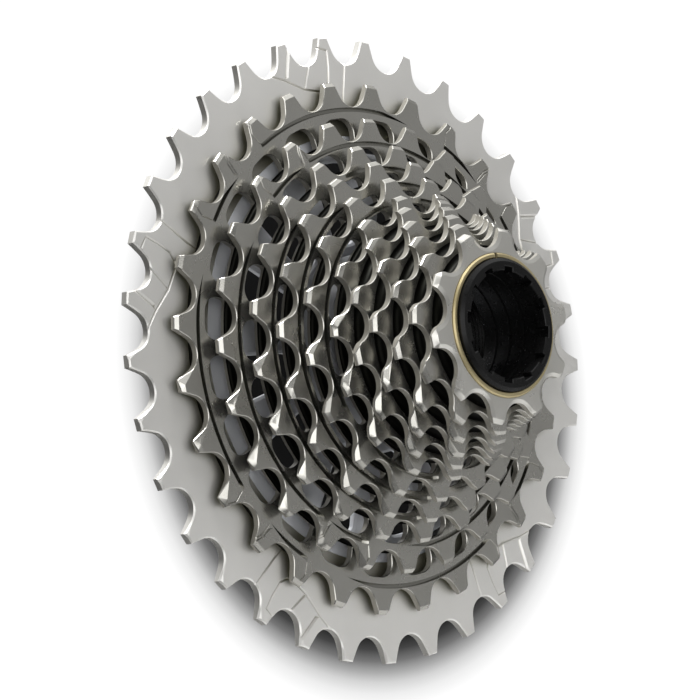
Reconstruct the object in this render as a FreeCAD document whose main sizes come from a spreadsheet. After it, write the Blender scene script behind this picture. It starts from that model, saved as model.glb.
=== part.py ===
"""Twelve-speed bicycle cassette, 10 to 33 teeth, as separate pieces.

The wheel axis is Y.  The small end faces -Y, the side nearest the spokes faces +Y, and +Z is up.
The origin is the centre of the hub bore at the back face that seats against the driver's shoulder.
"""
import FreeCAD, Part
import os

import Sketcher

TEETH = [33, 28, 24, 21, 19, 17, 15, 14, 13, 12, 11, 10]
WINDOWED = [28, 24, 21, 19, 17]
ALUMINIUM = 33
FIRST_STEEL = 28
SMALLEST = 10

# Where a tooth gap of each sprocket stands, in tooth pitches clockwise from straight up.
CLOCK = {33: 0.673, 28: 0.411, 24: 0.931, 21: 0.217, 19: 0.298, 17: 0.292,
         15: 0.196, 14: 0.933, 13: 0.669, 12: 0.421, 11: 0.192, 10: 0.980}

# How far the tooth tips stand outside the pitch circle.
TIP_RISE = {33: 1.6, 28: 1.3, 24: 0.8, 21: 0.6, 19: 0.6, 17: 0.5,
            15: 0.35, 14: 0.3, 13: 0.25, 12: 0.2, 11: 0.2, 10: 0.3}

# How far the top of a web's windows stays below the roots of its tooth gaps.
WINDOW_DROP = {28: 2.6, 24: 1.6, 21: 1.7, 19: 2.05, 17: 1.45}

# The driving dimensions, in millimetres, degrees and plain counts: one sheet cell each.
CELLS = {
    "chain_pitch": 12.7,
    "seat_radius": 4.12,
    "seat_angle": 62,
    "tip_land": 2.6,
    "spacing": 3.72,
    "steel_thick": 1.6,
    "ring_thick": 2.0,
    "steel_start": 1.3,
    "riser_inset": 0.35,
    "riser_wall": 1.4,
    "spigot_inset": 0.9,
    "groove_inset": 0.2,
    "groove_width": 0.9,
    "groove_depth": 0.6,
    "rib_width": 3.1,
    "window_inset": 0.2,
    "window_corner": 3.2,
    "window_foot_corner": 0.8,
    "lap_inner_r": 46.6,
    "lap_outer_r": 50.6,
    "lap_thick": 1.0,
    "rim_inner_r": 41.0,
    "arm_count": 12,
    "arm_clock": -3,
    "cut_half_angle": 7.5,
    "cut_inner_r": 23.0,
    "cut_corner": 2.0,
    "hub_outer_r": 20.6,
    "hub_bore_r": 17.3,
    "hub_length": 12.0,
    "spline_count": 9,
    "spline_width": 2.0,
    "spline_depth": 1.0,
    "pin_count": 12,
    "pin_r": 0.8,
    "pin_circle_r": 48.6,
    "pin_depth": 4.2,
    "boss_r": 1.3,
    "rivet_r": 1.0,
    "tube_front": 43.9,
    "tube_back": 13.0,
    "tube_r": 13.55,
    "flange_r": 14.02,
    "flange_thick": 2.2,
    "pilot_r": 12.1,
    "thread_r": 12.6,
    "thread_start": 25.0,
    "socket_r": 11.4,
    "socket_depth": 2.5,
    "rim_bevel_r": 13.3,
    "rim_bevel_depth": 0.6,
    "notch_count": 12,
    "notch_clock": 14,
    "notch_width": 2.35,
    "notch_r": 12.3,
    "bush_front": 42.7,
    "bush_back": 37.6,
    "bush_r": 15.2,
    "bush_bore_r": 13.62,
    "bush_recess_r": 14.1,
    "bush_slit": 0.8,
    "bush_clock": 4,
    "washer_thick": 0.8,
    "washer_r": 15.0,
    "washer_bore_r": 13.75,
    "clip_gap": 0.1,
    "clip_thick": 1.0,
    "clip_r": 14.8,
    "clip_bore_r": 12.95,
    "clip_opening": 9.0,
    "seal_centre_y": 40.3,
    "seal_ring_r": 13.22,
    "seal_wire_r": 0.35,
    "seal_groove_width": 1.1,
    "seal_groove_r": 12.85,
}
for count in TEETH:
    CELLS["teeth_%d" % count] = count
    CELLS["clock_%d" % count] = CLOCK[count]
    CELLS["rise_%d" % count] = TIP_RISE[count]
for count in WINDOWED:
    CELLS["drop_%d" % count] = WINDOW_DROP[count]

doc = FreeCAD.newDocument("cassette")
dims = doc.addObject("Spreadsheet::Sheet", "dims")
for row, (alias, value) in enumerate(CELLS.items(), start=1):
    dims.set("A%d" % row, alias)
    dims.set("B%d" % row, str(value))
    dims.setAlias("B%d" % row, alias)
doc.recompute()


def cell(alias):
    """The expression that reads one cell."""
    return "dims." + alias


def number(expression):
    """The value of an expression now, as a plain number."""
    value = dims.evalExpression(expression)
    return float(getattr(value, "Value", value))


# Expressions for the sizes that follow from the tooth count.
def pitch_r(count):
    return "(dims.chain_pitch / (2 * sin(180deg / dims.teeth_%d)))" % count


def root_r(count):
    return "(%s - dims.seat_radius)" % pitch_r(count)


def tip_r(count):
    return "(%s + dims.rise_%d)" % (pitch_r(count), count)


def thickness(count):
    return cell("ring_thick") if count == ALUMINIUM else cell("steel_thick")


def front_y(count):
    """Where the front face of a sprocket lies, in front of the hub's back face."""
    if count == ALUMINIUM:
        return "(-dims.ring_thick)"
    return "(-dims.steel_start - %d * dims.spacing)" % TEETH.index(count)


def bore_r(count):
    """The bore of a sprocket takes the spigot of the next smaller one."""
    if count in (SMALLEST, TEETH[-2]):
        return cell("bush_r")
    return "(%s - dims.spigot_inset)" % root_r(TEETH[TEETH.index(count) + 1])


def gap_angle(count):
    return "(dims.clock_%d * 360deg / dims.teeth_%d)" % (count, count)


# Bodies, sketches and features.
def new_body(name, y="0", turn="0deg"):
    """A body that stands at y along the wheel axis, turned clockwise as seen from the small end."""
    body = doc.addObject("PartDesign::Body", name)
    body.Label = name
    body.Placement.Rotation = FreeCAD.Rotation(FreeCAD.Vector(0, 1, 0), 1)
    body.setExpression("Placement.Rotation.Angle", turn)
    body.setExpression("Placement.Base.y", y)
    return body


def origin_plane(body, role):
    return next(item for item in body.Origin.OriginFeatures if item.Role == role)


def new_sketch(body, name, role, offset=None, turn=None):
    """A sketch on one of the body's origin planes, moved along and turned about the plane's normal."""
    sketch = body.newObject("Sketcher::SketchObject", name)
    sketch.AttachmentSupport = [(origin_plane(body, role), "")]
    sketch.MapMode = "FlatFace"
    if offset:
        sketch.setExpression("AttachmentOffset.Base.z", offset)
    if turn:
        sketch.AttachmentOffset = FreeCAD.Placement(FreeCAD.Vector(), FreeCAD.Rotation(1, 0, 0))
        sketch.setExpression("AttachmentOffset.Rotation.Angle", turn)
    return sketch


def pin_point(sketch, geometry, end, x, y, name):
    """Hold one end of a sketch line at the point given by two expressions."""
    for kind, expression in (("X", x), ("Y", y)):
        if expression is None:
            continue
        label = "%s_%s" % (name, kind)
        value = number(expression)
        index = sketch.addConstraint(Sketcher.Constraint("Distance" + kind, -1, 1, geometry, end, value))
        sketch.renameConstraint(index, label)
        sketch.setExpression("Constraints." + label, expression)


def add_polygon(sketch, points, name="corner"):
    """A closed polygon whose corners are pairs of expressions."""
    places = [FreeCAD.Vector(number(x), number(y), 0) for x, y in points]
    lines = []
    for index, place in enumerate(places):
        following = places[(index + 1) % len(places)]
        lines.append(sketch.addGeometry(Part.LineSegment(place, following), False))
    for index, line in enumerate(lines):
        after = lines[(index + 1) % len(lines)]
        sketch.addConstraint(Sketcher.Constraint("Coincident", line, 2, after, 1))
    for index, (x, y) in enumerate(points):
        pin_point(sketch, lines[index], 1, x, y, "%s_%d" % (name, index))


def revolve(body, name, points):
    """A turned solid: a closed half-section of (radius, y) corners spun about the wheel axis."""
    sketch = new_sketch(body, name + "_section", "XY_Plane")
    add_polygon(sketch, points)
    turned = body.newObject("PartDesign::Revolution", name)
    turned.Profile = sketch
    turned.ReferenceAxis = (sketch, ["V_Axis"])
    turned.Angle = 360
    doc.recompute()
    return turned


def cut(body, name, sketch, length, count):
    """Pocket a sketch by length, half each way from its plane, and repeat it round the wheel axis."""
    before = body.Shape.Volume
    pocket = body.newObject("PartDesign::Pocket", name)
    pocket.Profile = sketch
    pocket.SideType = "Symmetric"
    pocket.setExpression("Length", length)
    doc.recompute()
    repeat_round(body, name + "_ring", pocket, count)
    if body.Shape.Volume >= before:
        raise RuntimeError("%s of %s cuts nothing" % (name, body.Label))


def repeat_round(body, name, feature, count):
    pattern = body.newObject("PartDesign::PolarPattern", name)
    pattern.Originals = [feature]
    pattern.Axis = (next(item for item in body.Origin.OriginFeatures if item.Role == "Y_Axis"), [""])
    pattern.Angle = 360
    pattern.setExpression("Occurrences", count)
    body.Tip = pattern
    doc.recompute()


def direction(angle):
    """The unit vector at a clockwise angle, in degrees, from straight up."""
    return FreeCAD.Rotation(FreeCAD.Vector(0, 0, 1), -angle).multVec(FreeCAD.Vector(0, 1, 0))


def add_ring_window(sketch, inner, outer, half_angle, corner_out, corner_in):
    """A window between two arcs about the wheel axis, with radial sides and round corners."""
    turn_out = number("asin(%r / %r)" % (corner_out, outer - corner_out))
    turn_in = number("asin(%r / %r)" % (corner_in, inner + corner_in))
    reach_out = ((outer - corner_out) ** 2 - corner_out ** 2) ** 0.5
    reach_in = ((inner + corner_in) ** 2 - corner_in ** 2) ** 0.5

    def at(radius, angle):
        return direction(angle) * radius

    def rounded(start, centre, end, corner):
        middle = centre + ((start + end) * 0.5 - centre).normalize() * corner
        return Part.Arc(start, middle, end)

    edges = []
    for side in (1, -1):
        outer_end = at(outer, side * (half_angle - turn_out))
        outer_side = at(reach_out, side * half_angle)
        inner_side = at(reach_in, side * half_angle)
        inner_end = at(inner, side * (half_angle - turn_in))
        outer_centre = at(outer - corner_out, side * (half_angle - turn_out))
        inner_centre = at(inner + corner_in, side * (half_angle - turn_in))
        part = [Part.Arc(at(outer, 0), at(outer, side * (half_angle - turn_out) / 2), outer_end),
                rounded(outer_end, outer_centre, outer_side, corner_out),
                Part.LineSegment(outer_side, inner_side),
                rounded(inner_side, inner_centre, inner_end, corner_in),
                Part.Arc(inner_end, at(inner, side * (half_angle - turn_in) / 2), at(inner, 0))]
        edges += part
    for edge in edges:
        index = sketch.addGeometry(edge, False)
        sketch.addConstraint(Sketcher.Constraint("Block", index))


def add_hole(sketch, radius, circle_r):
    """A round hole straight above the wheel axis."""
    place = FreeCAD.Vector(0, number(circle_r), 0)
    hole = sketch.addGeometry(Part.Circle(place, FreeCAD.Vector(0, 0, 1), number(radius)), False)
    sketch.addConstraint(Sketcher.Constraint("PointOnObject", hole, 3, -2))
    for label, kind, expression in (("height", "DistanceY", circle_r), ("radius", "Radius", radius)):
        if kind == "Radius":
            rule = Sketcher.Constraint(kind, hole, number(expression))
        else:
            rule = Sketcher.Constraint(kind, -1, 1, hole, 3, number(expression))
        index = sketch.addConstraint(rule)
        sketch.renameConstraint(index, label)
        sketch.setExpression("Constraints." + label, expression)


# The toothed sprockets.
def add_tooth_gap(sketch, count):
    """One roller seat: an arc on the pitch circle and straight flanks that run past the tooth tips."""
    seat_x = "(dims.seat_radius * sin(dims.seat_angle * 1deg))"
    seat_y = "(%s - dims.seat_radius * cos(dims.seat_angle * 1deg))" % pitch_r(count)
    tip_angle = "(180deg / dims.teeth_%d - asin(dims.tip_land / 2 / %s))" % (count, tip_r(count))
    tip_x = "(%s * sin(%s))" % (tip_r(count), tip_angle)
    tip_y = "(%s * cos(%s))" % (tip_r(count), tip_angle)
    past_x = "(1.2 * %s - 0.2 * %s)" % (tip_x, seat_x)
    past_y = "(1.2 * %s - 0.2 * %s)" % (tip_y, seat_y)
    top_y = "(%s + 2)" % tip_r(count)

    seat = FreeCAD.Vector(number(seat_x), number(seat_y), 0)
    bottom = FreeCAD.Vector(0, number(root_r(count)), 0)
    mirror = FreeCAD.Vector(-seat.x, seat.y, 0)
    arc = sketch.addGeometry(Part.Arc(mirror, bottom, seat), False)
    outline = [(seat_x, seat_y), (past_x, past_y), (past_x, top_y),
               ("-" + past_x, top_y), ("-" + past_x, past_y), ("-" + seat_x, seat_y)]
    places = [FreeCAD.Vector(number(x), number(y), 0) for x, y in outline]
    lines = []
    for start, end in zip(places, places[1:]):
        lines.append(sketch.addGeometry(Part.LineSegment(start, end), False))
    for before, after in zip(lines, lines[1:]):
        sketch.addConstraint(Sketcher.Constraint("Coincident", before, 2, after, 1))
    sketch.addConstraint(Sketcher.Constraint("Coincident", arc, 2, lines[0], 1))
    sketch.addConstraint(Sketcher.Constraint("Coincident", arc, 1, lines[-1], 2))
    for index, line in enumerate(lines):
        pin_point(sketch, line, 1, outline[index][0], outline[index][1], "gap_%d" % index)
    pin_point(sketch, lines[-1], 2, outline[-1][0], outline[-1][1], "gap_end")
    index = sketch.addConstraint(Sketcher.Constraint("Radius", arc, number(cell("seat_radius"))))
    sketch.renameConstraint(index, "seat")
    sketch.setExpression("Constraints.seat", cell("seat_radius"))


def steel_section(count):
    """Half-section of a steel sprocket, from its front face at y = 0 to the end of its spigot."""
    larger = TEETH[TEETH.index(count) - 1]
    back = thickness(count)
    seat = "(%s - %s)" % (front_y(larger), front_y(count))
    outside = "(%s - dims.riser_inset)" % root_r(count)
    inside = "(%s - dims.riser_inset - dims.riser_wall)" % root_r(count)
    points = [(tip_r(count), "0"), (tip_r(count), back), (outside, back), (outside, seat)]
    if count == SMALLEST:
        return points + [(bore_r(count), seat), (bore_r(count), "0")]
    if count == FIRST_STEEL:
        points += [(inside, seat), (inside, back)]
    else:
        end = "(%s + %s)" % (seat, thickness(larger))
        points += [(bore_r(larger), seat), (bore_r(larger), end), (inside, end), (inside, back)]
    points += [(bore_r(count), back), (bore_r(count), "0")]
    if count in WINDOWED:
        lip = "(%s - dims.groove_inset)" % root_r(count)
        floor = cell("groove_depth")
        inner = "(%s - dims.groove_width)" % lip
        points += [(inner, "0"), (inner, floor), (lip, floor), (lip, "0")]
    return points


def ring_section():
    """Half-section of the aluminium sprocket: a full rim and a thin inner band that laps the carrier."""
    back = cell("ring_thick")
    band = "(dims.ring_thick - dims.lap_thick)"
    return [(tip_r(ALUMINIUM), "0"), (tip_r(ALUMINIUM), back), (cell("lap_outer_r"), back),
            (cell("lap_outer_r"), band), (cell("lap_inner_r"), band), (cell("lap_inner_r"), "0")]


# Pins stand behind every second tooth of the 24-tooth sprocket, and rivets behind the others.
PIN_TURN = "(%s + 180deg / dims.teeth_24)" % gap_angle(24)
RIVET_TURN = "(%s - 180deg / dims.teeth_24)" % gap_angle(24)


def build_sprocket(count):
    turn = gap_angle(count)
    body = new_body("sprocket_%dt" % count, front_y(count), turn)
    revolve(body, "disc_%d" % count, ring_section() if count == ALUMINIUM else steel_section(count))
    middle = "(-%s / 2)" % thickness(count)
    gap = new_sketch(body, "gap_%d" % count, "XZ_Plane", middle)
    add_tooth_gap(gap, count)
    cut(body, "teeth_cut_%d" % count, gap, "(%s * 1.5)" % thickness(count), cell("teeth_%d" % count))
    if count in WINDOWED:
        cut_windows(body, count, middle, turn)
    if count == FIRST_STEEL:
        add_bosses(body, turn)
    if count == ALUMINIUM:
        drill(body, "pin_hole", cell("pin_r"), PIN_TURN, turn)
        drill(body, "rivet_hole", cell("rivet_r"), RIVET_TURN, turn)
    return body


def cut_windows(body, count, middle, turn):
    """Windows through the web, one behind each tooth gap of the next smaller sprocket."""
    smaller = TEETH[TEETH.index(count) + 1]
    sketch = new_sketch(body, "window_%d" % count, "XZ_Plane", middle,
                        "(%s - %s)" % (turn, gap_angle(smaller)))
    inner = number("%s - dims.window_inset" % root_r(smaller))
    outer = number("%s - dims.drop_%d" % (root_r(count), count))
    half_rib = number("asin(dims.rib_width / (%r + %r))" % (inner, outer))
    foot = number(cell("window_foot_corner"))
    corner = min(number(cell("window_corner")), outer - inner - foot - 0.1)
    add_ring_window(sketch, inner, outer, 180.0 / smaller - half_rib, corner, foot)
    cut(body, "windows_cut_%d" % count, sketch, thickness(count), cell("teeth_%d" % smaller))


def add_bosses(body, turn):
    """Bosses on the back of the 28-tooth web reach the aluminium ring and take the pins."""
    sketch = new_sketch(body, "boss", "XZ_Plane", "(-dims.steel_thick)", "(%s - %s)" % (turn, PIN_TURN))
    add_hole(sketch, cell("boss_r"), cell("pin_circle_r"))
    seat = "(%s - %s)" % (front_y(ALUMINIUM), front_y(FIRST_STEEL))
    pad = body.newObject("PartDesign::Pad", "boss_pad")
    pad.Profile = sketch
    pad.Reversed = True
    pad.setExpression("Length", "(%s - dims.steel_thick)" % seat)
    doc.recompute()
    repeat_round(body, "boss_ring", pad, cell("pin_count"))
    depth = "(dims.pin_depth - dims.ring_thick)"
    drill(body, "pin_hole", cell("pin_r"), PIN_TURN, turn, seat, depth)


def drill(body, name, radius, hole_turn, body_turn, plane_y="0", depth="dims.hub_length"):
    """Drill a ring of holes from plane_y, to a depth each way."""
    sketch = new_sketch(body, name, "XZ_Plane", "(-%s)" % plane_y, "(%s - %s)" % (body_turn, hole_turn))
    add_hole(sketch, radius, cell("pin_circle_r"))
    cut(body, name + "_drill", sketch, "(2 * %s)" % depth, cell("pin_count"))


sprockets = {count: build_sprocket(count) for count in TEETH}


# The carrier: rim, arms and splined hub of the aluminium sprocket.
def build_carrier():
    body = new_body("carrier")
    front = "(-dims.ring_thick)"
    lap = "(-dims.lap_thick)"
    hub_end = "(-dims.hub_length)"
    revolve(body, "spider_disc", [
        (cell("hub_bore_r"), "0"), (cell("lap_outer_r"), "0"), (cell("lap_outer_r"), lap),
        (cell("lap_inner_r"), lap), (cell("lap_inner_r"), front), (cell("hub_outer_r"), front),
        (cell("hub_outer_r"), hub_end), (cell("hub_bore_r"), hub_end)])
    opening = new_sketch(body, "arm_gap", "XZ_Plane", None, "(-dims.arm_clock * 1deg)")
    corner = number(cell("cut_corner"))
    add_ring_window(opening, number(cell("cut_inner_r")), number(cell("rim_inner_r")),
                    number(cell("cut_half_angle")), corner, corner)
    cut(body, "arm_gaps", opening, "(3 * dims.ring_thick)", cell("arm_count"))
    spline = new_sketch(body, "spline", "XZ_Plane")
    side = "(dims.spline_width / 2)"
    top = "(dims.hub_bore_r + dims.spline_depth)"
    low = "(dims.hub_bore_r - dims.spline_depth)"
    add_polygon(spline, [(side, low), (side, top), ("-" + side, top), ("-" + side, low)])
    cut(body, "splines", spline, "(3 * dims.hub_length)", cell("spline_count"))
    drill(body, "rim_pin_hole", cell("pin_r"), PIN_TURN, "0deg")
    drill(body, "rim_rivet_hole", cell("rivet_r"), RIVET_TURN, "0deg")
    return body


# The lock tube and the small parts that hold it in the smallest sprocket.
def build_lock_tube():
    body = new_body("lock_tube")
    front = "(-dims.tube_front)"
    flange_back = "(-dims.tube_front + dims.flange_thick)"
    socket_end = "(-dims.tube_front + dims.socket_depth)"
    seal_low = "(-dims.seal_centre_y - dims.seal_groove_width / 2)"
    seal_high = "(-dims.seal_centre_y + dims.seal_groove_width / 2)"
    clip_low = "(-dims.bush_back + dims.washer_thick + dims.clip_gap)"
    clip_high = "(%s + dims.clip_thick)" % clip_low
    thread = "(-dims.thread_start)"
    back = "(-dims.tube_back)"
    bevel_end = "(-dims.tube_front + dims.rim_bevel_depth)"
    revolve(body, "tube_turned", [
        (cell("socket_r"), front), (cell("rim_bevel_r"), front), (cell("flange_r"), bevel_end),
        (cell("flange_r"), flange_back),
        (cell("tube_r"), flange_back), (cell("tube_r"), seal_low), (cell("seal_groove_r"), seal_low),
        (cell("seal_groove_r"), seal_high), (cell("tube_r"), seal_high), (cell("tube_r"), clip_low),
        (cell("clip_bore_r"), clip_low), (cell("clip_bore_r"), clip_high), (cell("tube_r"), clip_high),
        (cell("tube_r"), back), (cell("thread_r"), back), (cell("thread_r"), thread),
        (cell("pilot_r"), thread), (cell("pilot_r"), socket_end), (cell("socket_r"), socket_end)])
    notch = new_sketch(body, "notch", "XZ_Plane", cell("tube_front"), "(-dims.notch_clock * 1deg)")
    side = "(dims.notch_width / 2)"
    low = "(dims.socket_r - 1)"
    top = cell("notch_r")
    add_polygon(notch, [(side, low), (side, top), ("-" + side, top), ("-" + side, low)])
    cut(body, "notches", notch, "(2 * dims.socket_depth)", cell("notch_count"))
    return body


def cut_mouth(body, name, width, offset, turn=None):
    """Open a turned ring with one straight radial slot."""
    sketch = new_sketch(body, name + "_sketch", "XZ_Plane", offset, turn)
    side = "(%s / 2)" % width
    inner = "(dims.tube_r / 2)"
    outer = "(dims.tube_r * 1.5)"
    add_polygon(sketch, [(side, inner), (side, outer), ("-" + side, outer), ("-" + side, inner)])
    cut(body, name, sketch, "dims.hub_length", "1")


def build_bush():
    """Slit brass bush: the tube's flange turns in its recess."""
    body = new_body("tube_bush")
    front = "(-dims.bush_front)"
    recess = "(-dims.tube_front + dims.flange_thick + 0.05)"
    back = "(-dims.bush_back)"
    revolve(body, "bush_turned", [
        (cell("bush_recess_r"), front), (cell("bush_r"), front), (cell("bush_r"), back),
        (cell("bush_bore_r"), back), (cell("bush_bore_r"), recess), (cell("bush_recess_r"), recess)])
    cut_mouth(body, "bush_slit", cell("bush_slit"), cell("bush_front"), "(-dims.bush_clock * 1deg)")
    return body


def build_washer():
    body = new_body("thrust_washer")
    front = "(-dims.bush_back)"
    back = "(-dims.bush_back + dims.washer_thick)"
    revolve(body, "washer_turned", [
        (cell("washer_bore_r"), front), (cell("washer_r"), front), (cell("washer_r"), back),
        (cell("washer_bore_r"), back)])
    return body


def build_clip():
    """Open spring ring in the tube's groove, behind the thrust washer."""
    body = new_body("retaining_ring")
    front = "(-dims.bush_back + dims.washer_thick + dims.clip_gap)"
    back = "(%s + dims.clip_thick)" % front
    revolve(body, "clip_turned", [
        (cell("clip_bore_r"), front), (cell("clip_r"), front), (cell("clip_r"), back),
        (cell("clip_bore_r"), back)])
    cut_mouth(body, "clip_mouth", cell("clip_opening"), "(-%s)" % front)
    return body


def build_seal():
    ring = doc.addObject("Part::Torus", "o_ring")
    ring.Label = "o_ring"
    ring.Placement.Rotation = FreeCAD.Rotation(FreeCAD.Vector(1, 0, 0), 90)
    ring.setExpression("Radius1", cell("seal_ring_r"))
    ring.setExpression("Radius2", cell("seal_wire_r"))
    ring.setExpression("Placement.Base.y", "(-dims.seal_centre_y)")
    return ring


def build_pin_group(name, radius, length, turn):
    """A ring of equal pins, flush with the back of the carrier."""
    pins = []
    for index in range(int(number(cell("pin_count")))):
        angle = "(%s + %d * 360deg / dims.pin_count)" % (turn, index)
        pin = doc.addObject("Part::Cylinder", "%s_%d" % (name, index))
        pin.Placement.Rotation = FreeCAD.Rotation(FreeCAD.Vector(1, 0, 0), 90)
        pin.setExpression("Radius", radius)
        pin.setExpression("Height", length)
        pin.setExpression("Placement.Base.x", "(dims.pin_circle_r * sin(%s))" % angle)
        pin.setExpression("Placement.Base.z", "(dims.pin_circle_r * cos(%s))" % angle)
        pins.append(pin)
    group = doc.addObject("Part::Compound", name)
    group.Label = name
    group.Links = pins
    return group


pieces = list(sprockets.values())
pieces += [build_carrier(), build_lock_tube(), build_bush(), build_washer(), build_clip(), build_seal()]
pieces.append(build_pin_group("cluster_pins", cell("pin_r"), cell("pin_depth"), PIN_TURN))
pieces.append(build_pin_group("carrier_rivets", cell("rivet_r"), cell("ring_thick"), RIVET_TURN))
doc.recompute()

for item in doc.Objects:
    if "Invalid" in item.State or "Error" in item.State:
        raise RuntimeError("%s failed: %s" % (item.Name, item.State))
for piece in pieces:
    if piece.Shape.isNull() or not piece.Shape.isValid():
        raise RuntimeError("%s has no valid shape" % piece.Label)

os.makedirs("parts", exist_ok=True)
for piece in pieces:
    piece.Shape.exportStep("parts/%s.step" % piece.Label)
    print(piece.Label, "%.1f mm3" % piece.Shape.Volume, len(piece.Shape.Solids), "solid(s)")
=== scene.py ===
"""Bicycle cassette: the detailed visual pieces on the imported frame, with their materials, light and camera.

Lengths are in millimetres until a mesh is made.  The wheel axis is Y and the small end faces -Y.
A flat outline is a list of (x, z) points.  An angle runs clockwise from straight up, as seen from the
small end.
"""

from math import asin, atan2, ceil, cos, degrees, hypot, pi, radians, sin

import bmesh
import bpy
import numpy as np
from mathutils import Matrix, Vector
from mathutils.geometry import delaunay_2d_cdt

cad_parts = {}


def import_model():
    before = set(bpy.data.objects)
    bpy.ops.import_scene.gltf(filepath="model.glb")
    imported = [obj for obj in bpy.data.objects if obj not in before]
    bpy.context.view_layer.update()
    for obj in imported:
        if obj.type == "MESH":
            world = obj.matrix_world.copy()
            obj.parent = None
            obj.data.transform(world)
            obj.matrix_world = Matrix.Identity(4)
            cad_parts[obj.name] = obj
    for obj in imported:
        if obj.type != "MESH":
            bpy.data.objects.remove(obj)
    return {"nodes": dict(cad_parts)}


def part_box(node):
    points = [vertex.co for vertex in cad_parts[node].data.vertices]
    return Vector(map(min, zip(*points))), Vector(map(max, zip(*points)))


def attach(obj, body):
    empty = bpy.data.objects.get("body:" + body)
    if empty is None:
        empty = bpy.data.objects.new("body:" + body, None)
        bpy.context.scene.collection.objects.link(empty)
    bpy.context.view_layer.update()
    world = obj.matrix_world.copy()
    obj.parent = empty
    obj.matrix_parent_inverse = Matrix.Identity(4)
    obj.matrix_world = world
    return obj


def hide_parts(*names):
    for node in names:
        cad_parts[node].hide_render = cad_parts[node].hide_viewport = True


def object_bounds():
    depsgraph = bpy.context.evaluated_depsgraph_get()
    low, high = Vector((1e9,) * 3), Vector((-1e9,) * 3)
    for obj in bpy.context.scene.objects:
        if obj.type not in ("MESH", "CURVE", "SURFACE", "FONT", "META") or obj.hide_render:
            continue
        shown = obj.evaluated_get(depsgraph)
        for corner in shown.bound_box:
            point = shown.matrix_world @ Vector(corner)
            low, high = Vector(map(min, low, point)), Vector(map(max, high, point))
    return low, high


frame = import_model()
cad_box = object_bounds()

MM = 0.001

# The sprockets, each named by its tooth count.
TEETH = (33, 28, 24, 21, 19, 17, 15, 14, 13, 12, 11, 10)
LARGEST, SMALLEST = TEETH[0], TEETH[-1]
WINDOWED = (28, 24, 21, 19, 17)

# Where a tooth gap of each sprocket stands, in tooth pitches clockwise from straight up.
CLOCK = {33: 0.673, 28: 0.411, 24: 0.931, 21: 0.217, 19: 0.298, 17: 0.292,
         15: 0.196, 14: 0.933, 13: 0.669, 12: 0.421, 11: 0.192, 10: 0.980}

# How far the tooth tips rise past the pitch circle, and how far they lean anticlockwise.
TIP_RISE = {33: 1.6, 28: 1.3, 24: 0.8, 21: 0.6, 19: 0.6, 17: 0.5,
            15: 0.35, 14: 0.3, 13: 0.25, 12: 0.2, 11: 0.2, 10: 0.3}
TIP_LEAN = {19: 0.5, 17: 0.7, 15: 0.9, 14: 1.0, 13: 1.0, 12: 1.0, 11: 1.0, 10: 0.6}

CHAIN_PITCH = 12.7
SEAT_RADIUS = 4.12
SEAT_ANGLE = radians(62)
SEAT_STEPS = 12
FLANK_PULL = 0.45
FLANK_STEPS = 4
TIP_LAND = 2.6
PLATE = 1.6


# Sizes that follow from the tooth count and the frame.
def pitch_r(count):
    return CHAIN_PITCH / (2 * sin(pi / count))


def root_r(count):
    return pitch_r(count) - SEAT_RADIUS


def tip_r(count):
    return pitch_r(count) + TIP_RISE[count]


def span_y(node):
    """The lowest and highest y of a CAD node, in millimetres."""
    low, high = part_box(node)
    return low[1] / MM, high[1] / MM


def node_of(count):
    return "sprocket_%dt" % count


def front_of(count):
    return span_y(node_of(count))[0]


# Flat outlines.
CORNER_STEPS = 6
ARC_STEPS = 4
FILLET_STEPS = 6
MITRE_LIMIT = 0.5


def at(radius, angle):
    """The flat point at a radius and an angle, in radians clockwise from straight up."""
    return (radius * sin(angle), radius * cos(angle))


def circle(radius, count=96):
    return [at(radius, 2 * pi * index / count) for index in range(count)]


def turned_point(point, angle):
    """A flat point turned clockwise about the wheel axis."""
    x, z = point
    return (x * cos(angle) + z * sin(angle), z * cos(angle) - x * sin(angle))


def area(loop):
    total = 0.0
    for (ax, az), (bx, bz) in zip(loop, loop[1:] + loop[:1]):
        total += ax * bz - bx * az
    return total / 2


def wound(loop, positive):
    return list(loop) if (area(loop) > 0) == positive else list(reversed(loop))


def inset(loop, distance):
    """The loop moved into the material, which lies to the left of its direction."""
    moved = []
    for before, here, after in zip(loop[-1:] + loop[:-1], loop, loop[1:] + loop[:1]):
        first = Vector((here[0] - before[0], here[1] - before[1])).normalized()
        second = Vector((after[0] - here[0], after[1] - here[1])).normalized()
        normal = Vector((-first.y, first.x))
        middle = (normal + Vector((-second.y, second.x))).normalized()
        step = middle * (distance / max(middle.dot(normal), MITRE_LIMIT))
        moved.append((here[0] + step.x, here[1] + step.y))
    return moved


def bezier(start, control, end, steps):
    """The points of a quadratic curve, without its start."""
    points = []
    for index in range(1, steps + 1):
        t = index / steps
        a, b, c = (1 - t) ** 2, 2 * t * (1 - t), t ** 2
        points.append(tuple(a * low + b * pull + c * high for low, pull, high in zip(start, control, end)))
    return points


def tooth_gap(count):
    """One gap about straight up, from the tip corner on its left to the one on its right."""
    pitch = pitch_r(count)
    tip = tip_r(count)
    seat = []
    for index in range(SEAT_STEPS + 1):
        turn = SEAT_ANGLE * (2 * index / SEAT_STEPS - 1)
        seat.append((SEAT_RADIUS * sin(turn), pitch - SEAT_RADIUS * cos(turn)))
    half = pi / count - asin(TIP_LAND / 2 / tip)
    lean = TIP_LEAN.get(count, 0) / tip
    pull = (tip - seat[-1][1]) * FLANK_PULL
    flanks = []
    for side, end in ((-1, seat[0]), (1, seat[-1])):
        control = (end[0] + side * pull * cos(SEAT_ANGLE), end[1] + pull * sin(SEAT_ANGLE))
        flanks.append(bezier(end, control, at(tip, side * half - lean), FLANK_STEPS))
    return list(reversed(flanks[0])) + seat + flanks[1]


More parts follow.
